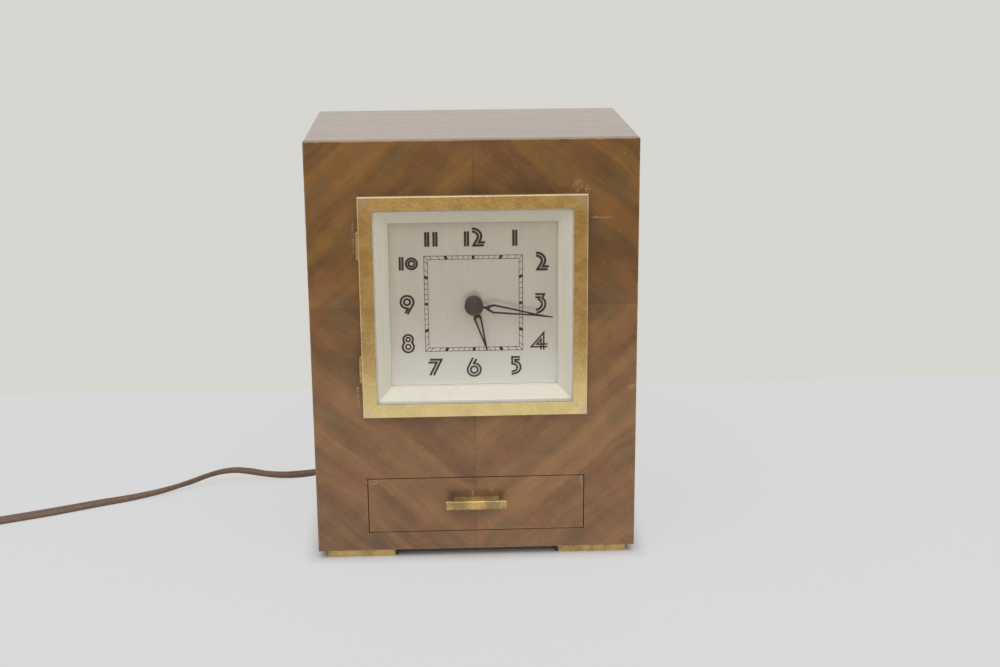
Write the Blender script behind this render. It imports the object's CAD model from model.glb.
import math

import bpy
from mathutils import Matrix, Vector


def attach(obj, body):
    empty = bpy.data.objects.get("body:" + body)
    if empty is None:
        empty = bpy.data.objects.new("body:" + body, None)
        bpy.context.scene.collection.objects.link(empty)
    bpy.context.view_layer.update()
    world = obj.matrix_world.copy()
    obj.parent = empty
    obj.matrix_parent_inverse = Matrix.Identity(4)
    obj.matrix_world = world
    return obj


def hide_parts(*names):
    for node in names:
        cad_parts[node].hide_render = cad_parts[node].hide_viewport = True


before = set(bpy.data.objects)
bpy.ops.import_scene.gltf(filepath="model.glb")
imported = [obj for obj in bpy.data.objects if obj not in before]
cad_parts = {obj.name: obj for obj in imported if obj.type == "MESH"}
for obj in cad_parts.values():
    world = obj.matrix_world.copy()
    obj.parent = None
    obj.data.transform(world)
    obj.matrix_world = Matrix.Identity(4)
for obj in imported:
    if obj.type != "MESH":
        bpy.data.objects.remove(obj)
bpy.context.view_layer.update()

# Sizes below are millimetres in the CAD's frame, and become metres where a piece is made
MM = 0.001

# The case's front plane, which depths are measured back from, and the dial's centre
FRONT_Y = -63.85
AXIS_Z = 150.1
DIAL_DEPTH = 6.5


def at(x, depth, z):
    """A point in metres, from millimetres across, behind the case's front and above the table."""
    return Vector((x, depth + FRONT_Y, z)) * MM


def srgb(red, green, blue):
    """A linear colour from the 0 to 255 numbers of a picture."""
    def linear(value):
        value /= 255
        return value / 12.92 if value <= 0.04045 else ((value + 0.055) / 1.055) ** 2.4
    return (linear(red), linear(green), linear(blue), 1)


def link(obj):
    bpy.context.scene.collection.objects.link(obj)
    return obj


def mesh_piece(name, verts, faces, smooth=True):
    mesh = bpy.data.meshes.new(name)
    mesh.from_pydata([tuple(v) for v in verts], [], faces)
    mesh.validate()
    if smooth:
        mesh.shade_smooth()
    return link(bpy.data.objects.new(name, mesh))


# Camera, fitted to the corners of the case, the door, the drawer and the feet
CAMERA_AT = Vector((-19.2, -902.45, 362.2)) * MM
CAMERA_YAW = math.radians(-2.297)
CAMERA_DOWN = math.radians(15.215)
CAMERA_ROLL = math.radians(0.43)
CAMERA_LENS = 55.67


def make_camera():
    data = bpy.data.cameras.new("camera")
    data.sensor_width = 36
    data.lens = CAMERA_LENS
    data.clip_start = 0.01
    data.clip_end = 50
    ahead = Vector((-math.sin(CAMERA_YAW) * math.cos(CAMERA_DOWN),
                    math.cos(CAMERA_YAW) * math.cos(CAMERA_DOWN), -math.sin(CAMERA_DOWN)))
    right = Vector((math.cos(CAMERA_YAW), math.sin(CAMERA_YAW), 0))
    down = ahead.cross(right)
    rolled_right = math.cos(CAMERA_ROLL) * right + math.sin(CAMERA_ROLL) * down
    rolled_down = math.cos(CAMERA_ROLL) * down - math.sin(CAMERA_ROLL) * right
    turned = Matrix((rolled_right, -rolled_down, -ahead)).transposed()
    camera = link(bpy.data.objects.new("camera", data))
    camera.matrix_world = Matrix.Translation(CAMERA_AT) @ turned.to_4x4()
    bpy.context.scene.camera = camera


make_camera()

# Mains lead: a flat twin of two round cores, each an arc of so many degrees either way, with a groove between
LEAD_W = 6.4
LEAD_T = 3.2
CORE_ARC = 132
CORE_ARC_STEP = 24
GROOVE_SHARE = 0.25
# The route of part.scad as across, depth and height, a little higher where the lead is turned
LEAD_ROUTE = [
    (-30, 156.3, 18), (-30, 161, 18), (-31.6, 170.2, 17.2), (-36.3, 178.4, 15), (-43.5, 184.4, 11.9),
    (-52.3, 187.2, 8.6), (-61.7, 187.2, 5.8), (-70.5, 184.4, 3.7), (-77.7, 178.4, 2.4), (-82.3, 170.3, 1.8),
    (-85.3, 160.5, 1.7), (-89.6, 151.9, 1.7), (-96, 145.3, 1.7), (-104.4, 140.9, 1.7), (-114.6, 137.3, 1.9),
    (-126, 134.5, 2.7), (-137, 134, 4), (-147, 134.8, 5.6), (-156.8, 134.8, 6.6), (-166.4, 132.2, 6.4),
    (-175.5, 127.2, 5.4), (-184.5, 120.9, 4), (-202, 109.6, 2.4), (-220, 100.5, 1.7), (-237, 92.2, 1.9),
    (-265, 77.8, 2.1), (-293, 65.5, 2.1), (-308, 59.2, 2), (-323, 53, 1.85), (-332, 49.3, 1.7),
    (-338, 46.8, 1.7),
]
# How far the lead is turned about its length at each route point from this one on, in degrees
TWIST_FROM = 13
LEAD_TWIST = [0, -8, -2, 4, 1, 7, 16, 26, 30, 14, 1, -6, -14, -14, -10, -4, 0]
# The coil winds in for half its turns, steps up over half a turn, and winds out again on top
COIL_START = Vector(LEAD_ROUTE[-1])
COIL_HEADING = Vector((-0.923, -0.385, 0))
COIL_TURNS = 127 / 24
COIL_REVERSE = COIL_TURNS / 2
COIL_STEP = 7.1
COIL_LAYER = 4.2
COIL_LAYER_TURNS = 0.5
COIL_MEAN_R = 38.4
COIL_OUT_R = COIL_MEAN_R + COIL_STEP * COIL_REVERSE / 2
COIL_BEND = COIL_START + LEAD_W * COIL_HEADING
COIL_CENTRE = COIL_BEND + COIL_OUT_R * Vector((COIL_HEADING.y, -COIL_HEADING.x, 0))
COIL_ANGLE_0 = math.atan2(-COIL_HEADING.x, COIL_HEADING.y) + math.pi
RINGS_PER_TURN = 48
STEPS_PER_POINT = 4
# From the coil's end to the plug
TAIL_AHEAD = 8
TAIL_ROUTE = [(-2.3, 16.5, 0.2), (-3.2, 25, 0.4)]
PLUG_FROM_COIL = (-3.5, 38)
PLUG_LEAD_IN = 6
PLUG_Z = 6.5


def coil_point(turn):
    """The lead's middle after so many turns: in to the least radius, then out again on top."""
    radius = COIL_OUT_R - COIL_STEP * (COIL_REVERSE - abs(turn - COIL_REVERSE))
    step = max(0, min(1, (turn - COIL_REVERSE) / COIL_LAYER_TURNS + 0.5))
    angle = COIL_ANGLE_0 - 2 * math.pi * turn
    return Vector((COIL_CENTRE.x + radius * math.cos(angle), COIL_CENTRE.y + radius * math.sin(angle),
                   COIL_START.z + COIL_LAYER * step * step * (3 - 2 * step)))


def smooth_line(points, steps):
    """Points on a smooth curve through the given vectors, with so many steps from each to the next."""
    points = [2 * points[0] - points[1]] + points + [2 * points[-1] - points[-2]]
    line = []
    for a, b, c, d in zip(points, points[1:], points[2:], points[3:]):
        for k in range(steps):
            t = k / steps
            line.append(0.5 * (2 * b + (c - a) * t + (2 * a - 5 * b + 4 * c - d) * t * t
                               + (3 * b - 3 * c + d - a) * t * t * t))
    return line + [points[-2]]


def lead_path():
    """The whole lead's middle, and where its plug begins."""
    wound = [coil_point(k / RINGS_PER_TURN) for k in range(round(COIL_TURNS * RINGS_PER_TURN) + 1)]
    exit_angle = COIL_ANGLE_0 - 2 * math.pi * COIL_TURNS
    heading = Vector((math.sin(exit_angle), -math.cos(exit_angle), 0))
    coil_end = wound[-1] + LEAD_W * heading
    plug = Vector((coil_end.x + PLUG_FROM_COIL[0], coil_end.y + PLUG_FROM_COIL[1], PLUG_Z))
    tail = ([coil_end, coil_end + TAIL_AHEAD * heading] + [coil_end + Vector(p) for p in TAIL_ROUTE]
            + [plug - Vector((0, PLUG_LEAD_IN, 0)), plug])
    route = smooth_line([Vector(p) for p in LEAD_ROUTE], STEPS_PER_POINT)
    return [at(*p) for p in route + wound + smooth_line(tail, STEPS_PER_POINT)], at(*plug)


def lead_outline():
    """Across the lead: two round cores side by side, with the groove between them."""
    half_t = LEAD_T / 2
    core = LEAD_W / 2 - half_t
    half = [(core + half_t * math.cos(math.radians(k)), half_t * math.sin(math.radians(k)))
            for k in range(-CORE_ARC, CORE_ARC + 1, CORE_ARC_STEP)]
    half.append((0, half_t * GROOVE_SHARE))
    return half + [(-x, -z) for x, z in half]


def lead_twist(i):
    """The turn of the lead at a point of its path, in radians."""
    short_of_last = len(LEAD_TWIST) - 1.001
    place = min(max(i / STEPS_PER_POINT - TWIST_FROM, 0), short_of_last)
    k = int(place)
    return math.radians(LEAD_TWIST[k] + (LEAD_TWIST[k + 1] - LEAD_TWIST[k]) * (place - k))


def ring_faces(rings, n, flip=False):
    """Faces over rings of n points each and over both ends, turned over if flip."""
    faces = []
    for i in range(rings - 1):
        for k in range(n):
            a, b = i * n + k, i * n + (k + 1) % n
            faces.append((a, a + n, b + n, b) if flip else (a, b, b + n, a + n))
    first, last = tuple(range(n)), tuple(range((rings - 1) * n, rings * n))
    return faces + ([first, last[::-1]] if flip else [first[::-1], last])


def tube(name, path, outline):
    """A mesh of one outline swept along a path, kept level but for the lead's twist."""
    verts = []
    for i, p in enumerate(path):
        ahead = (path[min(i + 1, len(path) - 1)] - path[max(i - 1, 0)]).normalized()
        level = Vector((0, 0, 1)).cross(ahead).normalized()
        upright = ahead.cross(level)
        cos, sin = math.cos(lead_twist(i)), math.sin(lead_twist(i))
        across, over = cos * level + sin * upright, cos * upright - sin * level
        verts += [p + (x * across + z * over) * MM for x, z in outline]
    return mesh_piece(name, verts, ring_faces(len(path), len(outline)))


LEAD_PATH, PLUG_AT = lead_path()
lead = tube("mains_lead", LEAD_PATH, lead_outline())
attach(lead, "case")
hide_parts("lead_run", "lead_coil", "lead_tail")


# The plug: its outline at each distance from the lead, as half width and half height, with rounded corners
PLUG_SECTIONS = [
    (0, 3.9, 3.4), (0.4, 4.3, 3.8), (1.6, 4.3, 3.8), (2, 3.9, 3.4), (2.6, 3.9, 3.4), (3, 4.35, 4), (4.2, 4.35, 4),
    (4.6, 4, 3.6), (5.2, 4, 3.6), (5.6, 4.5, 4.2), (7.5, 5, 4.4), (10, 6.4, 4.6), (13, 8.9, 4.8), (16, 11.6, 5.1),
    (18.5, 13.3, 5.6), (20.5, 14.1, 6.1), (22, 14.3, 6.3), (26.3, 14.3, 6.3), (27.4, 13.9, 5.9), (28, 13.1, 5.1),
]
PLUG_CORNER = 2.7
PLUG_RING = 40


def make_plug():
    verts = []
    for y, half_w, half_h in PLUG_SECTIONS:
        for k in range(PLUG_RING):
            angle = 2 * math.pi * k / PLUG_RING
            c, s = math.cos(angle), math.sin(angle)
            x = math.copysign(abs(c) ** (2 / PLUG_CORNER), c) * half_w
            z = math.copysign(abs(s) ** (2 / PLUG_CORNER), s) * half_h
            verts.append(PLUG_AT + Vector((x, y, z)) * MM)
    plug = mesh_piece("plug_moulding", verts, ring_faces(len(PLUG_SECTIONS), PLUG_RING, flip=True))
    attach(plug, "case")
    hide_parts("plug_body")
    return plug


plug = make_plug()


# Dial printing. Every figure is drawn with two strokes side by side, as points across and up from the centre.
# These are the widths of the strokes
BOLD = 1.36
MEDIUM = 1.22
FINE = 1.12
THIN = 0.92
PRINT_SHIFT = Vector((-0.25, 0.2))
INK_T = 0.04
ARC_STEP = 10
CURVE_STEPS = 5
BAR_HALF_GAP = 0.79
JOINED = 1e-6
MITRE_LEAST = 0.35


def arc(x, z, radius, start, end):
    """Points of an arc from one angle to another, in degrees anticlockwise from the right."""
    steps = round(abs(end - start) / ARC_STEP)
    angles = [math.radians(start + (end - start) * k / steps) for k in range(steps + 1)]
    return [Vector((x + radius * math.cos(a), z + radius * math.sin(a))) for a in angles]


def line(*points):
    return [Vector(p) for p in points]


def curve(*points):
    return smooth_line(line(*points), CURVE_STEPS)


def bars(x, z0, z1, half_gap=BAR_HALF_GAP):
    """The figure one: two upright bars."""
    return [line((x - half_gap, z0), (x - half_gap, z1)), line((x + half_gap, z0), (x + half_gap, z1))]


def shifted(stroke, x, z):
    return [p + Vector((x, z)) for p in stroke]


def two(x, z):
    outer = (curve((-0.3, 42.65), (1.4, 42.5), (3.1, 41.65), (4.4, 40.1), (4.85, 38.4), (4.45, 36.6))
             + line((3.5, 34.8), (7, 34.8)))
    inner = (curve((-0.3, 41), (1, 40.8), (2.3, 39.9), (3, 38.5), (2.75, 36.9))
             + line((1.8, 35.4), (0.5, 33.15), (6.3, 33.15)))
    return [shifted(outer, x, z), shifted(inner, x, z)]


def six(x, z):
    strokes = [line((-0.6, 7.15)) + arc(0, 0, 3.75, 154, 460), line((1.45, 6.25), (-0.55, 3.4)), arc(0, 0, 2, 0, 360)]
    return [shifted(stroke, x, z) for stroke in strokes]


def nine(x, z):
    strokes = [arc(0, 0, 3.62, -84, -385) + line((0.1, -7.1)), line((0.85, -3.3), (-1.2, -6.5)),
               arc(0, 0, 1.72, 0, 360)]
    return [shifted(stroke, x, z) for stroke in strokes]


FIGURES = [
    (BOLD, [
        *bars(-3.35, 32.7, 41.2), *two(0, 0),
        *bars(23.6, 32.55, 41.7),
        *two(35.7, -14.3),
        *bars(-25.45, 32.8, 41.1, 0.77), *bars(-20.9, 32.8, 41.1, 0.77)]),
    (MEDIUM, [
        line((35, 4.5), (40, 4.5)) + curve((38.9, 2.2), (40.1, 1.1), (40.65, -0.7), (40.35, -2.8), (39.15, -4.6),
                                           (37.6, -5.7), (35.7, -6.15)),
        line((35, 2.75), (37.5, 2.75)) + curve((36.85, 1.5), (38.1, 0.7), (38.75, -0.8), (38.35, -2.6), (37.2, -3.9),
                                               (35.2, -4.5)),
        *bars(-40, 19.45, 27.15, 0.75), arc(-34.3, 23.2, 3.08, 0, 360), arc(-34.3, 23.2, 1.64, 0, 360),
        *nine(-37.2, 1.2),
        line((-25.05, -32.75), (-18.4, -32.75), (-22.95, -42)),
        line((-25.95, -34.4), (-21.1, -34.4), (-24.95, -42))]),
    (FINE, [
        arc(-37.1, -20.6, 2.72, -50, 230), arc(-37.1, -24.95, 3.18, 132, 408),
        line((26.2, -32), (21.75, -32), (21.75, -36)) + curve((23.15, -36.2), (24.25, -37.1), (24.65, -38.5),
                                                              (23.75, -39.9), (21.4, -40.75)),
        line((26.2, -33.6), (23.4, -33.6), (23.4, -34.7)) + curve((24.9, -35), (26.15, -36.4), (26.55, -38.4),
                                                                  (25.8, -40.25), (24.1, -41.5), (21.4, -42.2)),
        *six(0.1, -39.05)]),
    (THIN, [
        line((39.75, -28), (39.75, -17.9), (32.6, -26.2), (41.8, -26.2)),
        line((38.2, -28), (38.2, -21.7), (35.75, -24.65), (41.9, -24.65)),
        arc(-37.1, -20.6, 1.16, 0, 360), arc(-37.1, -24.95, 1.4, 0, 360)]),
]

TRACK_OUT = 27.6
TRACK_IN = 25.6
TRACK_LINE = 0.29
TRACK_BLOCK = 1.6
TRACK_CORNERS = (7.5, 22.5, 37.5, 52.5)


def minute_point(minute, reach):
    """Where the ray of a minute crosses the square that stands this far from the centre."""
    turn = math.radians(6 * minute)
    ray = Vector((math.sin(turn), math.cos(turn)))
    return ray * reach / max(abs(ray.x), abs(ray.y))


def ribbon(points, width, verts, faces):
    """Adds a flat stroke of that width along the points, its corners mitred."""
    closed = (points[0] - points[-1]).length < JOINED
    if closed:
        points = points[:-1]
    n = len(points)
    first = len(verts)
    for i, p in enumerate(points):
        before = (p - points[i - 1]).normalized() if i or closed else None
        after = (points[(i + 1) % n] - p).normalized() if i < n - 1 or closed else before
        before = before or after
        normal = (Vector((-before.y, before.x)) + Vector((-after.y, after.x))).normalized()
        reach = width / 2 / max(MITRE_LEAST, normal.dot(Vector((-after.y, after.x))))
        for side in (1, -1):
            q = p + side * reach * normal
            verts.append(at(q.x, DIAL_DEPTH - INK_T, AXIS_Z + q.y))
    for i in range(n if closed else n - 1):
        a, b = first + 2 * i, first + 2 * ((i + 1) % n)
        faces.append((a, b, b + 1, a + 1))


def printing(name, strokes):
    """A printed piece on the dial, from (points, width) strokes."""
    verts, faces = [], []
    for points, width in strokes:
        ribbon(points, width, verts, faces)
    piece = mesh_piece(name, verts, faces, smooth=False)
    solid = piece.modifiers.new("ink", "SOLIDIFY")
    solid.thickness = INK_T * MM
    solid.offset = 0
    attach(piece, "case")
    return piece


def track_strokes():
    strokes = []
    for reach in (TRACK_OUT, TRACK_IN):
        corners = [(reach, reach), (-reach, reach), (-reach, -reach), (reach, -reach), (reach, reach)]
        strokes.append((line(*corners), TRACK_LINE))
    for minute in range(60):
        ends = [minute_point(minute, TRACK_IN), minute_point(minute, TRACK_OUT)]
        strokes.append((ends, TRACK_BLOCK if minute % 5 == 0 else TRACK_LINE))
    for corner in TRACK_CORNERS:
        strokes.append(([minute_point(corner, TRACK_IN), minute_point(corner, TRACK_OUT)], TRACK_LINE))
    return strokes


figures = printing("dial_figures", [([p + PRINT_SHIFT for p in stroke], width)
                                    for width, strokes in FIGURES for stroke in strokes])
track = printing("minute_track", track_strokes())


class Nodes:
    """A tree of shader nodes. Most methods add to it and give an output."""

    def __init__(self, tree):
        self.tree = tree

    def feed(self, socket, value):
        if isinstance(value, bpy.types.NodeSocket):
            self.tree.links.new(value, socket)
        else:
            socket.default_value = value

    def node(self, kind, inputs, **settings):
        node = self.tree.nodes.new(kind)
        for name, value in settings.items():
            setattr(node, name, value)
        for key, value in inputs.items():
            self.feed(node.inputs[key], value)
        return node

    def vector(self, x, y=0.0, z=0.0):
        return self.node("ShaderNodeCombineXYZ", {0: x, 1: y, 2: z}).outputs[0]

    def split(self, vector):
        return self.node("ShaderNodeSeparateXYZ", {0: vector}).outputs

    def math(self, operation, *values):
        return self.node("ShaderNodeMath", dict(enumerate(values)), operation=operation).outputs[0]

    def times(self, a, b):
        return self.math("MULTIPLY", a, b)

    def plus(self, a, b):
        return self.math("ADD", a, b)

    def minus(self, a, b):
        return self.math("SUBTRACT", a, b)

    def larger(self, a, b):
        return self.math("MAXIMUM", a, b)

    def smaller(self, a, b):
        return self.math("MINIMUM", a, b)

    def distance(self, value, middle=0.0):
        return self.math("ABSOLUTE", self.minus(value, middle))

    def step(self, value, start, end):
        """0 before start, 1 after end, and smooth between them."""
        return self.node("ShaderNodeMapRange", {0: value, 1: start, 2: end}, interpolation_type="SMOOTHSTEP").outputs[0]

    def range(self, value, low, high):
        """A number from low to high as value goes from 0 to 1."""
        return self.node("ShaderNodeMapRange", {0: value, 1: 0.0, 2: 1.0, 3: low, 4: high}).outputs[0]

    def noise(self, vector, scale, detail, roughness=0.5):
        inputs = {"Vector": vector, "Scale": scale, "Detail": detail, "Roughness": roughness}
        return self.node("ShaderNodeTexNoise", inputs).outputs["Fac"]

    def swing(self, noise, width):
        """A noise's value about nought, over so much width."""
        return self.times(self.minus(noise, 0.5), width)

    def blend(self, a, b, share):
        """Two numbers in one, with the first one's share."""
        return self.plus(self.times(a, share), self.times(b, 1 - share))

    def mix(self, factor, a, b):
        return self.node("ShaderNodeMix", {0: factor, 6: a, 7: b}, data_type="RGBA").outputs[2]

    def tint(self, colour, where, other, amount):
        """A colour turned toward another by that amount where the mask is 1."""
        return self.mix(self.times(where, amount), colour, other)

    def ramp(self, value, stops):
        """A colour from (place, colour) stops."""
        node = self.node("ShaderNodeValToRGB", {0: value})
        elements = node.color_ramp.elements
        for element, (place, colour) in zip(elements, (stops[0], stops[-1])):
            element.position = place
            element.color = colour
        for place, colour in stops[1:-1]:
            elements.new(place).color = colour
        return node.outputs["Color"]

    def rays(self):
        return self.node("ShaderNodeLightPath", {}).outputs

    def mirrored(self, rays):
        """1 for the rays that show something in gloss or through glass."""
        return self.larger(rays["Is Glossy Ray"], rays["Is Transmission Ray"])


class Finish(Nodes):
    """A procedural material."""

    def __init__(self, name, **inputs):
        self.material = bpy.data.materials.new(name)
        self.material.use_nodes = True
        super().__init__(self.material.node_tree)
        self.surface = self.tree.nodes["Principled BSDF"]
        self.set(**inputs)

    def set(self, **inputs):
        """Sets the shader's inputs by name, with _ for a space."""
        for name, value in inputs.items():
            self.feed(self.surface.inputs[name.replace("_", " ")], value)

    def cover(self, share, shader):
        """Shows another shader in place of the surface's, by that share."""
        both = self.node("ShaderNodeMixShader", {0: share, 1: self.surface.outputs[0], 2: shader.outputs[0]})
        self.tree.links.new(both.outputs[0], self.tree.nodes["Material Output"].inputs["Surface"])

    def point(self):
        """The point in millimetres, as a vector."""
        coordinates = self.node("ShaderNodeTexCoord", {}).outputs["Object"]
        return self.node("ShaderNodeVectorMath", {0: coordinates, 3: 1 / MM}, operation="SCALE").outputs[0]

    def place(self):
        """The point in millimetres across, back and up."""
        return self.split(self.point())

    def facing_up(self, start, end):
        """0 where the face's upward part is less than start, 1 where it is more than end."""
        normal = self.node("ShaderNodeTexCoord", {}).outputs["Normal"]
        return self.step(self.split(normal)[2], start, end)

    def cloud(self, scale, detail, roughness=0.5):
        """Noise of so many clouds in a millimetre."""
        return self.noise(self.point(), scale, detail, roughness)

    def grain(self, scales, detail, roughness=0.5):
        """Noise of so many streaks in a millimetre across, back and up."""
        stretched = self.node("ShaderNodeVectorMath", {0: self.point(), 1: scales}, operation="MULTIPLY")
        return self.noise(stretched.outputs[0], 1.0, detail, roughness)

    def bump(self, height, depth, strength=1.0):
        """Raises the surface by depth millimetres where height is 1."""
        inputs = {"Height": height, "Distance": depth * MM, "Strength": strength}
        self.set(Normal=self.node("ShaderNodeBump", inputs).outputs[0])


# Walnut. Each pattern has its streaks in a millimetre across and along the grain, its detail and its roughness
WALNUT_PATTERNS = {
    "broad": (0.1, 0.012, 2, 0.5), "streak": (0.42, 0.02, 3, 0.5), "fibre": (2.2, 0.08, 4, 0.65),
    "pore": (4.2, 0.32, 2, 0.5), "ripple": (0.06, 0.11, 2, 0.5), "speckle": (1.6, 0.9, 2, 0.5),
    "hue": (0.07, 0.03, 2, 0.5),
}
# How far each pattern moves the wood's tone, and the colours that the tone runs through
FIGURE_WEIGHT = 0.45
BROAD_WEIGHT = 0.56
TONE_SWINGS = {"streak": 0.2, "fibre": 0.34, "ripple": 0.24, "speckle": 0.16}
WARM = [(0.2, srgb(70, 44, 15)), (0.45, srgb(107, 71, 24)), (0.72, srgb(143, 98, 34))]
COOL = [(0.2, srgb(84, 59, 36)), (0.45, srgb(126, 88, 52)), (0.72, srgb(158, 114, 68))]
# Tints, as a colour and its amount
OLIVE_TINT = (srgb(98, 88, 60), 0.3)
RUSSET_TINT = (srgb(150, 90, 58), 0.25)
PORE_TINT = (srgb(58, 38, 24), 0.4)
SEAM_TINT = (srgb(52, 34, 22), 0.3)
RUBBED_TINT = (srgb(172, 136, 98), 0.5)
GRIME_TINT = (srgb(66, 48, 38), 0.5)
CHIPPED_TINT = (srgb(206, 164, 108), 0.8)
# Where the hue's noise begins to be olive or russet and where it is so in full, and the same for a pore's noise
OLIVE = (0.45, 0.3)
RUSSET = (0.55, 0.7)
PORES = (0.62, 0.7)
HUE_LAYER = 9.0
PORE_SHARE = 0.7
PORE_DEPTH = 0.025
WALNUT_ROUGHNESS = (0.34, 0.46)

# The top and the sides have straight veneer
STRAIGHT_WARP = 30.0
STRAIGHT_BANDS = 0.045
STRAIGHT_LAYER = 2.0
STRAIGHT_WARMTH = 0.35

# The front's four leaves meet at the dial's middle and are mirrored there
GRAIN_ANGLE = math.radians(41)
LEAF_WARP = 12.0
LEAF_SHADE = 0.03
LEAF_LAYER = 0.3
FIGURE_REACH = 170
FIGURE_BANDS = [(0, 0.4), (0.27, 0.4), (0.36, 0.6), (0.44, 0.4), (0.56, 0.7), (0.67, 0.65), (0.72, 0.4),
                (0.8, 0.5), (0.87, 0.35), (1, 0.5)]
WARM_HEIGHTS = (90.0, 175.0)
WARM_SWING = 90.0
# The front's edges, the drawer's middle and half size, and where the drawer's rubbed rim is
CASE_SIDE = 92
CASE_LOW = 4.5
CASE_TOP = 243.1
DRAWER_HALF_W = 62
DRAWER_HALF_H = 16.15
DRAWER_MID_Z = 32.05
DRAWER_RIM = -0.5

# Wear. Each pair is where it begins and where it is full, in millimetres or as a noise's value
SEAM_WIDTH = (0.3, 0.1)
CASE_RUB_WIDTH = (0.9, 0.2)
CASE_RUB_DEPTH = (1.8, 0.4)
CASE_RUB_PATCHES = (0.42, 0.6)
DRAWER_RUB_WIDTH = (0.8, 0.2)
DRAWER_RUB_PATCHES = (0.5, 0.7)
GRIME_Z = 37.5
GRIME_WIDTH = (18.0, 13.0)
GRIME_HEIGHT = (5.0, 1.5)
CHIPS = (0.44, 0.64)
FLECKS = (0.68, 0.74)
SPOT_EDGE = (1.0, 0.2)
# Where the front is chipped and worn, as middle across and up, half width and half height
WORN_SPOTS = [
    (58, 217.6, 3.6, 4.4), (63.2, 215.6, 2.2, 2.4), (70.5, 199.6, 7, 0.9), (-66.3, 191, 0.9, 12),
    (-66.3, 99, 0.9, 10), (89, 101.5, 2.5, 2), (-2, 38.6, 1, 2.4), (9, 40.4, 1, 2.2), (-59.8, 46.6, 4, 2),
    (61, 44.5, 1.4, 5), (-60.8, 17.6, 1.6, 1.8),
]


def grey(value):
    return (value, value, value, 1)


def walnut(finish, across, along, figure, layer, warmth):
    """Walnut's colour and pores, from the distances across and along the grain."""
    def pattern(name, layer=layer):
        wide, long, detail, roughness = WALNUT_PATTERNS[name]
        spot = finish.vector(finish.times(across, wide), finish.times(along, long), layer)
        return finish.noise(spot, 1.0, detail, roughness)

    swings = {name: pattern(name) for name in TONE_SWINGS}
    tone = finish.plus(finish.times(figure, FIGURE_WEIGHT), finish.times(pattern("broad"), BROAD_WEIGHT))
    for name, width in TONE_SWINGS.items():
        tone = finish.plus(tone, finish.swing(swings[name], width))
    colour = finish.mix(warmth, finish.ramp(tone, COOL), finish.ramp(tone, WARM))
    hue = pattern("hue", HUE_LAYER)
    colour = finish.tint(colour, finish.step(hue, *OLIVE), *OLIVE_TINT)
    colour = finish.tint(colour, finish.step(hue, *RUSSET), *RUSSET_TINT)
    pores = finish.step(pattern("pore"), *PORES)
    finish.set(Roughness=finish.range(swings["fibre"], *WALNUT_ROUGHNESS))
    finish.bump(finish.minus(swings["fibre"], finish.times(pores, PORE_SHARE)), PORE_DEPTH, 0.5)
    return finish.tint(colour, pores, *PORE_TINT)


def worn_edges(finish):
    """1 on the rubbed parts of the case's front edges and round the drawer."""
    x, y, z = finish.place()
    side = finish.distance(x)
    patches = finish.cloud(0.12, detail=4, roughness=0.7)
    case_edge = finish.smaller(finish.minus(CASE_SIDE, side),
                               finish.smaller(finish.minus(CASE_TOP, z), finish.minus(z, CASE_LOW)))
    case = finish.times(finish.step(case_edge, *CASE_RUB_WIDTH), finish.step(patches, *CASE_RUB_PATCHES))
    case = finish.times(case, finish.step(y, *(FRONT_Y + depth for depth in CASE_RUB_DEPTH)))
    drawer_edge = finish.larger(finish.minus(side, DRAWER_HALF_W),
                                finish.minus(finish.distance(z, DRAWER_MID_Z), DRAWER_HALF_H))
    drawer = finish.times(finish.step(finish.distance(drawer_edge, DRAWER_RIM), *DRAWER_RUB_WIDTH),
                          finish.step(patches, *DRAWER_RUB_PATCHES))
    return finish.larger(case, drawer)


def grime(finish):
    """1 in the dark band that hands left above the drawer's handle."""
    x, _, z = finish.place()
    return finish.times(finish.step(finish.distance(x), *GRIME_WIDTH),
                        finish.step(finish.distance(z, GRIME_Z), *GRIME_HEIGHT))


def chips(finish):
    """1 in the chips of the worn spots and in small flecks all over."""
    x, _, z = finish.place()
    worn = 0.0
    for middle_x, middle_z, half_w, half_h in WORN_SPOTS:
        part_x = finish.times(finish.minus(x, middle_x), 1 / half_w)
        part_z = finish.times(finish.minus(z, middle_z), 1 / half_h)
        reach = finish.plus(finish.times(part_x, part_x), finish.times(part_z, part_z))
        worn = finish.larger(worn, finish.step(reach, *SPOT_EDGE))
    chipped = finish.times(worn, finish.step(finish.cloud(1.0, detail=4, roughness=0.7), *CHIPS))
    return finish.larger(chipped, finish.step(finish.cloud(0.75, detail=3, roughness=0.6), *FLECKS))


def matched_veneer():
    finish = Finish("walnut_matched", IOR=1.5, Coat_Weight=0.55, Coat_Roughness=0.34)
    x, _, z = finish.place()
    up = finish.minus(z, AXIS_Z)
    side, height = finish.distance(x), finish.math("ABSOLUTE", up)
    across = finish.plus(finish.times(side, math.sin(GRAIN_ANGLE)), finish.times(height, math.cos(GRAIN_ANGLE)))
    across = finish.plus(across, finish.swing(finish.cloud(0.022, detail=2), LEAF_WARP))
    along = finish.minus(finish.times(side, math.cos(GRAIN_ANGLE)), finish.times(height, math.sin(GRAIN_ANGLE)))
    leaf = finish.math("SIGN", finish.times(x, up))
    bands = finish.ramp(finish.times(across, 1 / FIGURE_REACH), [(p, grey(v)) for p, v in FIGURE_BANDS])
    figure = finish.minus(bands, finish.times(leaf, LEAF_SHADE))
    warmth = finish.step(finish.plus(z, finish.swing(finish.cloud(0.03, detail=2), WARM_SWING)), *WARM_HEIGHTS)
    colour = walnut(finish, across, along, figure, finish.times(leaf, LEAF_LAYER), warmth)
    colour = finish.tint(colour, finish.step(finish.smaller(side, height), *SEAM_WIDTH), *SEAM_TINT)
    colour = finish.tint(colour, worn_edges(finish), *RUBBED_TINT)
    colour = finish.tint(colour, grime(finish), *GRIME_TINT)
    finish.set(Base_Color=finish.tint(colour, chips(finish), *CHIPPED_TINT))
    return finish.material


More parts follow.
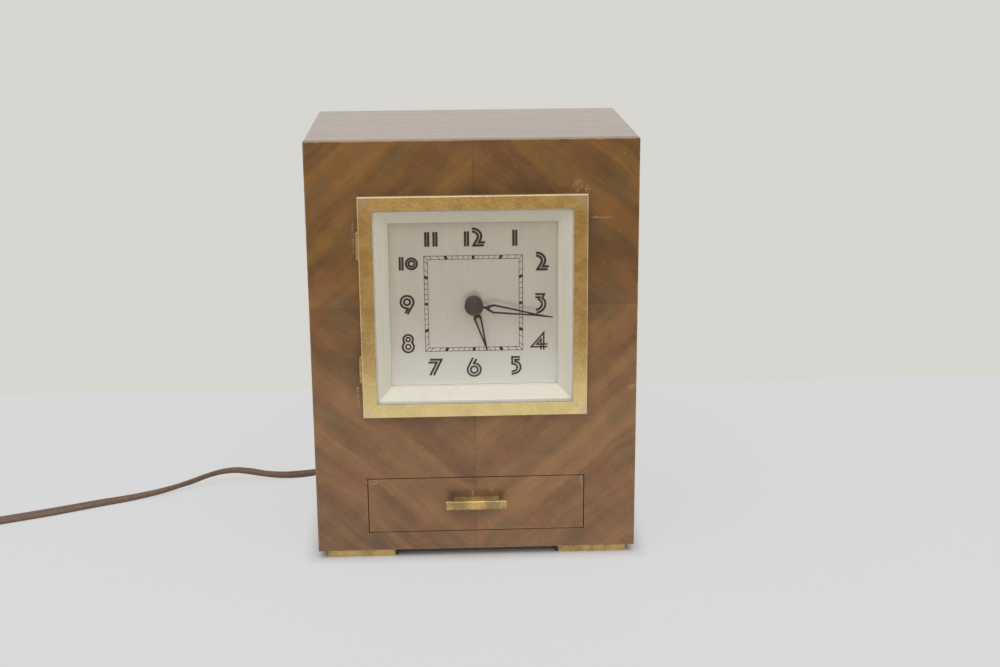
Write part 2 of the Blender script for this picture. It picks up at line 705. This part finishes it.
def straight_veneer(name, across_axis, along_axis):
    """Walnut with its grain along one axis, under a glossier lacquer than the front's."""
    finish = Finish(name, IOR=1.5, Coat_Weight=1.0, Coat_IOR=1.6, Coat_Roughness=0.2)
    place = finish.place()
    across = finish.plus(place[across_axis], finish.swing(finish.cloud(0.012, detail=3), STRAIGHT_WARP))
    figure = finish.noise(finish.vector(finish.times(across, STRAIGHT_BANDS)), 1.0, 3)
    colour = walnut(finish, across, place[along_axis], figure, STRAIGHT_LAYER, STRAIGHT_WARMTH)
    finish.set(Base_Color=colour)
    return finish.material


def bare_wood(finish, tone, stops, relief, roughness, depth):
    """Colours a finish by its tone, and roughens and raises it by its relief."""
    finish.set(Base_Color=finish.ramp(tone, stops), Roughness=finish.range(relief, *roughness))
    finish.bump(relief, depth)
    return finish.material


def inner_wood():
    finish = Finish("inner_wood", IOR=1.45)
    fibre = finish.grain((2.2, 0.1, 2.2), detail=3)
    tone = finish.blend(finish.grain((0.5, 0.03, 0.5), detail=4), fibre, 0.6)
    stops = [(0.3, srgb(150, 112, 70)), (0.5, srgb(184, 146, 98)), (0.7, srgb(204, 170, 122))]
    return bare_wood(finish, tone, stops, fibre, (0.5, 0.7), 0.04)


def hardboard():
    finish = Finish("hardboard", IOR=1.45)
    flecks = finish.cloud(1.1, detail=5, roughness=0.7)
    tone = finish.blend(flecks, finish.cloud(0.04, detail=3), 0.7)
    stops = [(0.35, srgb(82, 55, 35)), (0.52, srgb(112, 78, 50)), (0.68, srgb(138, 102, 70))]
    return bare_wood(finish, tone, stops, flecks, (0.45, 0.65), 0.05)


def dark_wood():
    finish = Finish("dark_wood", IOR=1.45)
    grain = finish.grain((0.12, 1.4, 1.4), detail=4)
    stops = [(0.35, srgb(52, 33, 24)), (0.65, srgb(96, 62, 44))]
    return bare_wood(finish, grain, stops, grain, (0.4, 0.6), 0.04)


# Brass, from lacquered to bare and stained, and the tints on it as a colour and its amount
BRASS_BRIGHT = (0.96, 0.78, 0.375, 1)
BRASS_DULL = (0.70, 0.48, 0.17, 1)
BRASS_BARE = (0.80, 0.68, 0.52, 1)
BRASS_STAINED = (0.36, 0.25, 0.11, 1)
BRASS_LEDGE = (0.58, 0.41, 0.25, 1)
BRASS_DUSTY = (0.20, 0.125, 0.07, 1)
PIT_TINT = (BRASS_BARE, 0.45)
BRUSH_TINT = (BRASS_STAINED, 0.2)
LOW_TINT = (BRASS_BRIGHT, 0.65)
UPRIGHT_TINT = (BRASS_STAINED, 0.25)
CORNER_TINT = (BRASS_BARE, 0.75)
EDGE_TINT = (BRASS_BARE, 0.7)
MITRE_TINT = (srgb(96, 66, 32), 0.3)
MOTTLE = (0.42, 0.58)
PITS = (0.62, 0.7)
BRUSH_LINES = (0.5, 0.62)
BRASS_ROUGHER = 0.16

# The door's frame, in millimetres: pairs are where a look begins and where it is full
DOOR_HALF = 63.5
DOOR_LOW_Z = (130.0, 98.0)
UPRIGHT_FROM_MITRE = (-1.0, 3.0)
CORNER_REACH = (116.0, 124.0)
CORNER_SWING = 14.0
UPPER_Z = (AXIS_Z, AXIS_Z + 60)
UPPER_CORNER_GROWTH = 3.0
DOOR_RUB_WIDTH = (0.8, 0.1)
DOOR_RUB_PATCHES = (0.35, 0.6)
MITRE_WIDTH = (0.16, 0.06)
SLOPE_FACING = (0.35, 0.65)
LEDGE_FACING = (0.8, 0.95)
LEDGE_METALLIC = 0.1


def aged_brass(name, patina, roughness, bright=BRASS_BRIGHT, dull=BRASS_DULL, metallic=1.0):
    """Brushed brass with a cloudy patina. Gives the finish, its colour and its clouds."""
    finish = Finish(name, Metallic=metallic)
    cloud = finish.cloud(0.09, detail=5, roughness=0.6)
    mottle = finish.blend(cloud, finish.cloud(1.3, detail=3, roughness=0.7), 0.6)
    brush = finish.grain((0.3, 2.4, 2.4), detail=4)
    colour = finish.tint(bright, finish.step(mottle, *MOTTLE), dull, patina)
    colour = finish.tint(colour, finish.step(finish.cloud(0.8, detail=3, roughness=0.8), *PITS), *PIT_TINT)
    colour = finish.tint(colour, finish.step(brush, *BRUSH_LINES), *BRUSH_TINT)
    finish.set(Roughness=finish.range(mottle, roughness, roughness + BRASS_ROUGHER))
    finish.bump(brush, 0.008, 0.4)
    return finish, colour, cloud


def door_brass():
    """The door's brass: brighter low down, duller on the uprights, bare at the corners, dusty on top."""
    finish, colour, cloud = aged_brass("door_brass", patina=0.8, roughness=0.14)
    x, _, z = finish.place()
    side, height = finish.distance(x), finish.distance(z, AXIS_Z)
    low = finish.step(z, *DOOR_LOW_Z)
    colour = finish.tint(colour, low, *LOW_TINT)
    upright = finish.step(finish.minus(side, height), *UPRIGHT_FROM_MITRE)
    colour = finish.tint(colour, finish.times(upright, finish.minus(1.0, low)), *UPRIGHT_TINT)
    corner = finish.plus(finish.plus(side, height), finish.swing(cloud, CORNER_SWING))
    corner = finish.plus(corner, finish.times(finish.step(z, *UPPER_Z), UPPER_CORNER_GROWTH))
    colour = finish.tint(colour, finish.step(corner, *CORNER_REACH), *CORNER_TINT)
    edge = finish.minus(DOOR_HALF, finish.larger(side, height))
    patches = finish.step(finish.cloud(0.2, detail=4, roughness=0.7), *DOOR_RUB_PATCHES)
    rubbed = finish.times(finish.step(edge, *DOOR_RUB_WIDTH), patches)
    colour = finish.tint(colour, rubbed, *EDGE_TINT)
    colour = finish.tint(colour, finish.step(finish.distance(side, height), *MITRE_WIDTH), *MITRE_TINT)
    up = finish.facing_up(*SLOPE_FACING)
    ledge = finish.mix(finish.facing_up(*LEDGE_FACING), BRASS_LEDGE, BRASS_DUSTY)
    finish.set(Base_Color=finish.mix(up, colour, ledge), Metallic=finish.range(up, 1.0, LEDGE_METALLIC))
    return finish.material


def plain_brass(name, **look):
    finish, colour, _ = aged_brass(name, **look)
    finish.set(Base_Color=colour)
    return finish.material


# Silvered metal: the dial, which is paler toward its foot, and its surround with a flat lip
DIAL_COLOUR = (0.775, 0.768, 0.71, 1)
DIAL_LOW_COLOUR = (0.83, 0.83, 0.78, 1)
DIAL_LOW_Z = (150.0, 105.0)
SURROUND_COLOUR = (0.93, 0.87, 0.745, 1)
SURROUND_METALLIC = 0.2
LIP_COLOUR = (0.98, 0.94, 0.84, 1)
LIP_FROM = (53.5, 53.9)
BRUSHED_SHADE = 0.92
BRUSHED_TONES = (0.35, 0.65)
SILVER_ROUGHER = 0.08


def silvered(name, base, metallic, roughness):
    """Silvered metal with fine upright brushing. Gives the finish and its colour."""
    finish = Finish(name, Metallic=metallic)
    brush = finish.grain((2.6, 1.0, 0.03), detail=4, roughness=0.6)
    tone = finish.blend(brush, finish.grain((0.25, 1.0, 0.02), detail=2), 0.6)
    dark = tuple(BRUSHED_SHADE * c for c in base[:3]) + (1,)
    finish.set(Roughness=finish.range(brush, roughness, roughness + SILVER_ROUGHER))
    finish.bump(brush, 0.0004, 0.3)
    return finish, finish.mix(finish.step(tone, *BRUSHED_TONES), dark, base)


def dial_silver():
    finish, colour = silvered("dial_silver", DIAL_COLOUR, metallic=0.5, roughness=0.18)
    low = finish.step(finish.place()[2], *DIAL_LOW_Z)
    finish.set(Base_Color=finish.mix(low, colour, DIAL_LOW_COLOUR))
    return finish.material


def surround_silver():
    """The surround is whiter on its flat lip, where the lacquer has gone."""
    finish, colour = silvered("surround_silver", SURROUND_COLOUR, SURROUND_METALLIC, roughness=0.42)
    x, _, z = finish.place()
    lip = finish.step(finish.larger(finish.distance(x), finish.distance(z, AXIS_Z)), *LIP_FROM)
    finish.set(Base_Color=finish.mix(lip, colour, LIP_COLOUR), Metallic=finish.range(lip, SURROUND_METALLIC, 0.0))
    return finish.material


# The pane lets light through to what is behind it, so its shadow is only a faint tint
GLASS_COLOUR = (0.985, 0.995, 0.99, 1)
GLASS_SHADOW = (0.985, 0.99, 0.988, 1)


def glass():
    finish = Finish("door_glass", Base_Color=GLASS_COLOUR, Roughness=0.0, IOR=1.46, Transmission_Weight=1.0)
    finish.cover(finish.rays()["Is Shadow Ray"], finish.node("ShaderNodeBsdfTransparent", {"Color": GLASS_SHADOW}))
    return finish.material


COATING_TONES = (0.35, 0.65)
COATING_ROUGHER = 0.15


def coated(name, colour, other, roughness, scale, depth, metallic=0.0, gloss=0.5):
    """A plain coating or moulding, with a fine mottle between two colours and that depth of relief."""
    finish = Finish(name, Metallic=metallic, IOR=1.48, Specular_IOR_Level=gloss)
    mottle = finish.cloud(scale, detail=4, roughness=0.6)
    finish.set(Base_Color=finish.mix(finish.step(mottle, *COATING_TONES), colour, other),
               Roughness=finish.range(mottle, roughness, roughness + COATING_ROUGHER))
    finish.bump(mottle, depth)
    return finish.material


# The motor's iron sheets and the tape on its coil
SHEET_PITCH = 0.8
SHEET_RUSTED = (0.45, 0.7)
SHEET_EDGE = (0.2, 0.9)
SHEET_COLOUR = (0.16, 0.16, 0.17, 1)
SHEET_RUST = (0.13, 0.09, 0.07, 1)
SHEET_GAP = (0.04, 0.04, 0.045, 1)
TAPE_PITCH = 5
TAPE_LEAN = 0.12
TAPE_EDGE = (0.93, 0.99)


def laminations():
    """The stator's stack of thin iron sheets."""
    finish = Finish("laminations", Metallic=0.8)
    sheet = finish.math("SINE", finish.times(finish.place()[1], 2 * math.pi / SHEET_PITCH))
    rust = finish.cloud(0.5, detail=4)
    colour = finish.mix(finish.step(rust, *SHEET_RUSTED), SHEET_COLOUR, SHEET_RUST)
    finish.set(Base_Color=finish.mix(finish.step(sheet, *SHEET_EDGE), colour, SHEET_GAP),
               Roughness=finish.range(rust, 0.4, 0.65))
    finish.bump(sheet, 0.08)
    return finish.material


def winding():
    """Varnished tape wound round the coil."""
    finish = Finish("winding_tape", IOR=1.5)
    x, _, z = finish.place()
    along = finish.plus(x, finish.times(z, TAPE_LEAN))
    turn = finish.math("SINE", finish.times(along, 2 * math.pi / TAPE_PITCH))
    weave = finish.grain((3.0, 3.0, 3.0), detail=2)
    colour = finish.mix(weave, srgb(86, 38, 24), srgb(128, 62, 38))
    finish.set(Base_Color=finish.mix(finish.step(turn, *TAPE_EDGE), colour, srgb(52, 22, 14)),
               Roughness=finish.range(weave, 0.35, 0.55))
    finish.bump(turn, 0.15)
    return finish.material


# The CAD nodes that are seen as they are, by finish. A coating has its colours, roughness, scale and depth
FINISHES = [
    (matched_veneer(), ["case_front", "drawer_front"]),
    (straight_veneer("walnut_top", 1, 0), ["case_top", "case_bottom"]),
    (straight_veneer("walnut_side", 1, 2), ["case_left_side", "case_right_side"]),
    (inner_wood(), [
        "drawer_shelf", "shelf_cleats", "drawer_runners", "drawer_stops", "back_blocks", "drawer_sides",
        "drawer_back", "drawer_bottom"]),
    (hardboard(), ["back_cover"]),
    (dark_wood(), ["feet"]),
    (door_brass(), ["door_frame"]),
    (plain_brass("worn_brass", patina=1.0, roughness=0.4, bright=BRASS_DULL, dull=BRASS_STAINED, metallic=0.65), [
        "foot_facings", "drawer_handle", "hinge_case_leaves", "hinge_pins", "hinge_door_leaves"]),
    (plain_brass("inner_brass", patina=0.35, roughness=0.22), [
        "catch_socket", "surround_clips", "catch_stud", "handle_screws", "dial_clips", "dial_posts",
        "movement_front_plate", "movement_back_plate", "plate_pillars", "rotor_pinion", "intermediate_wheel",
        "centre_wheel", "cannon_pinion", "minute_wheel", "hour_wheel", "shaft_bushing", "set_knob", "plug_blades"]),
    (dial_silver(), ["dial_plate"]),
    (surround_silver(), ["dial_surround"]),
    (glass(), ["door_glass"]),
    (coated("black_enamel", (0.022, 0.022, 0.02, 1), (0.034, 0.034, 0.03, 1), 0.36, 1.5, 0.01), ["hub_cap"]),
    (coated("hand_enamel", (0.012, 0.012, 0.011, 1), (0.018, 0.018, 0.016, 1), 0.5, 1.5, 0.01, gloss=0.25),
     ["hour_hand", "minute_hand"]),
    (coated("steel", (0.5, 0.5, 0.5, 1), (0.38, 0.37, 0.36, 1), 0.3, 0.8, 0.01, metallic=1.0),
     ["back_screws", "stator_posts", "centre_arbor", "minute_wheel_stud"]),
    (laminations(), ["stator_core"]),
    (coated("bobbin", srgb(150, 116, 72), srgb(128, 94, 56), 0.5, 0.6, 0.02), ["coil_bobbin"]),
    (winding(), ["coil_winding"]),
    (coated("copper_shell", (0.62, 0.34, 0.22, 1), (0.4, 0.2, 0.12, 1), 0.28, 0.25, 0.01, metallic=1.0),
     ["rotor_case"]),
    (coated("wire_cover", srgb(34, 30, 28), srgb(58, 50, 44), 0.7, 3.0, 0.05), ["inner_leads"]),
    (coated("bush_rubber", srgb(62, 48, 36), srgb(78, 60, 46), 0.5, 1.2, 0.02), ["lead_bush"]),
]
LEAD_FINISH = coated("lead_rubber", srgb(108, 84, 66), srgb(122, 98, 78), 0.42, 0.5, 0.01)
PLUG_FINISH = coated("plug_moulding", srgb(54, 36, 26), srgb(70, 48, 34), 0.35, 0.8, 0.015)
INK = coated("dial_ink", (0.01, 0.01, 0.008, 1), (0.018, 0.017, 0.014, 1), 0.6, 2.0, 0.001, gloss=0.2)


def paint(obj, material):
    if not obj.material_slots:
        obj.data.materials.append(material)
    for slot in obj.material_slots:
        slot.material = material


for material, names in FINISHES:
    for name in names:
        paint(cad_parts[name], material)
for obj, material in ((lead, LEAD_FINISH), (plug, PLUG_FINISH), (figures, INK), (track, INK)):
    paint(obj, material)


# Edges are rounded by these widths, after the solid's triangles are joined into flat faces
WELD_WITHIN = 0.001
FLAT_WITHIN = math.radians(0.5)
SHARP_FROM = math.radians(32)
BEVEL_SEGMENTS = 2
SOFTENED = {
    "case_front": 0.35, "case_top": 0.35, "case_left_side": 0.35, "case_right_side": 0.35, "case_bottom": 0.35,
    "drawer_front": 0.3, "door_frame": 0.18, "drawer_handle": 0.25, "foot_facings": 0.12, "feet": 0.3,
    "dial_surround": 0.12, "back_cover": 0.3, "drawer_sides": 0.4, "drawer_back": 0.4,
}


def soften(name, width):
    """Rounds a CAD node's sharp edges by so many millimetres."""
    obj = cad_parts[name]
    weld = obj.modifiers.new("weld", "WELD")
    weld.merge_threshold = WELD_WITHIN * MM
    flat = obj.modifiers.new("flat", "DECIMATE")
    flat.decimate_type = "DISSOLVE"
    flat.angle_limit = FLAT_WITHIN
    bevel = obj.modifiers.new("bevel", "BEVEL")
    bevel.width = width * MM
    bevel.segments = BEVEL_SEGMENTS
    bevel.limit_method = "ANGLE"
    bevel.angle_limit = SHARP_FROM
    bevel.use_clamp_overlap = True
    obj.modifiers.new("normals", "WEIGHTED_NORMAL")


for name, width in SOFTENED.items():
    soften(name, width)

# The table, in metres. Behind the clock it turns into the wall, and in reflections its front fades into the room
TABLE_FRONT = -0.54
TABLE_BACK = 3.0
TABLE_HALF = 3.0
TABLE_T = 0.03
FADE_FROM = -0.36
WALL_FROM = 0.27
WALL_BLEND = 0.008
# The share of the table's colour that shows unshaded, which grows over these millimetres outside the case
TABLE_SHOWN = 0.8
CASE_HALF_DEPTH = 64
SHOWN_BESIDE = (-5.0, 12.0)
TABLE_COLOUR = srgb(220, 220, 220)
WALL_COLOUR = srgb(215, 214, 209)
ROOM_COLOUR = (0.425, 0.317, 0.217, 1)
CEILING_COLOUR = (0.85, 0.85, 0.84, 1)
DAYLIGHT = (0.44, 0.445, 0.45, 1)
# How steeply up the room turns from floor to wall, and from wall to ceiling
HORIZON = (-0.02, 0.02)
CEILING = (0.0, 0.7)
# The one lamp, in metres and watts
SOFTBOX_AT = Vector((-0.1, -0.95, 1.6))
SOFTBOX_TARGET = Vector((0, 0, 0.1))
SOFTBOX_SIZE = 3.2
SOFTBOX_POWER = 28
SOFTBOX_COLOUR = (1, 0.995, 0.985)


def make_table():
    corners = [(x, y, z) for z in (0, -TABLE_T)
               for x, y in ((-TABLE_HALF, TABLE_FRONT), (TABLE_HALF, TABLE_FRONT),
                            (TABLE_HALF, TABLE_BACK), (-TABLE_HALF, TABLE_BACK))]
    faces = [(0, 1, 2, 3), (7, 6, 5, 4), (0, 4, 5, 1), (1, 5, 6, 2), (2, 6, 7, 3), (3, 7, 4, 0)]
    table = mesh_piece("table", corners, faces, smooth=False)
    finish = Finish("table", Base_Color=TABLE_COLOUR, Roughness=0.6, IOR=1.4)
    x, y, _ = finish.place()
    behind = finish.step(y, (WALL_FROM - WALL_BLEND) / MM, (WALL_FROM + WALL_BLEND) / MM)
    rays = finish.rays()
    mirrored = finish.mirrored(rays)
    seen = finish.larger(rays["Is Camera Ray"], mirrored)
    front = finish.times(mirrored, finish.step(y, FADE_FROM / MM, TABLE_FRONT / MM))
    colour = finish.mix(front, finish.mix(behind, TABLE_COLOUR, WALL_COLOUR), ROOM_COLOUR)
    beside = finish.larger(finish.minus(finish.distance(x), CASE_SIDE),
                           finish.minus(finish.distance(y), CASE_HALF_DEPTH))
    shown = finish.range(behind, finish.times(finish.step(beside, *SHOWN_BESIDE), TABLE_SHOWN), 1.0)
    finish.cover(finish.times(seen, finish.larger(shown, front)), finish.node("ShaderNodeEmission", {"Color": colour}))
    paint(table, finish.material)


def make_world():
    """A pale room over a darker, warmer floor, which gloss and glass show. Its light on the rest is even."""
    world = bpy.data.worlds.new("room")
    bpy.context.scene.world = world
    world.use_nodes = True
    room = Nodes(world.node_tree)
    direction = room.node("ShaderNodeTexCoord", {}).outputs["Generated"]
    height = room.split(direction)[2]
    above = room.step(height, *HORIZON)
    pale = room.mix(room.step(height, *CEILING), WALL_COLOUR, CEILING_COLOUR)
    mirrored = room.mix(above, ROOM_COLOUR, pale)
    lit = room.mix(above, ROOM_COLOUR, DAYLIGHT)
    rays = room.rays()
    colour = room.mix(rays["Is Camera Ray"], room.mix(room.mirrored(rays), lit, mirrored), WALL_COLOUR)
    background = room.tree.nodes["Background"]
    room.feed(background.inputs["Color"], colour)
    background.inputs["Strength"].default_value = 1.0


def make_softbox():
    data = bpy.data.lights.new("softbox", "AREA")
    data.shape = "DISK"
    data.size = SOFTBOX_SIZE
    data.energy = SOFTBOX_POWER
    data.color = SOFTBOX_COLOUR
    lamp = link(bpy.data.objects.new("softbox", data))
    lamp.location = SOFTBOX_AT
    lamp.visible_camera = False
    lamp.rotation_euler = (SOFTBOX_TARGET - SOFTBOX_AT).to_track_quat("-Z", "Y").to_euler()


make_table()
make_world()
make_softbox()

bpy.context.scene.view_settings.view_transform = "Standard"
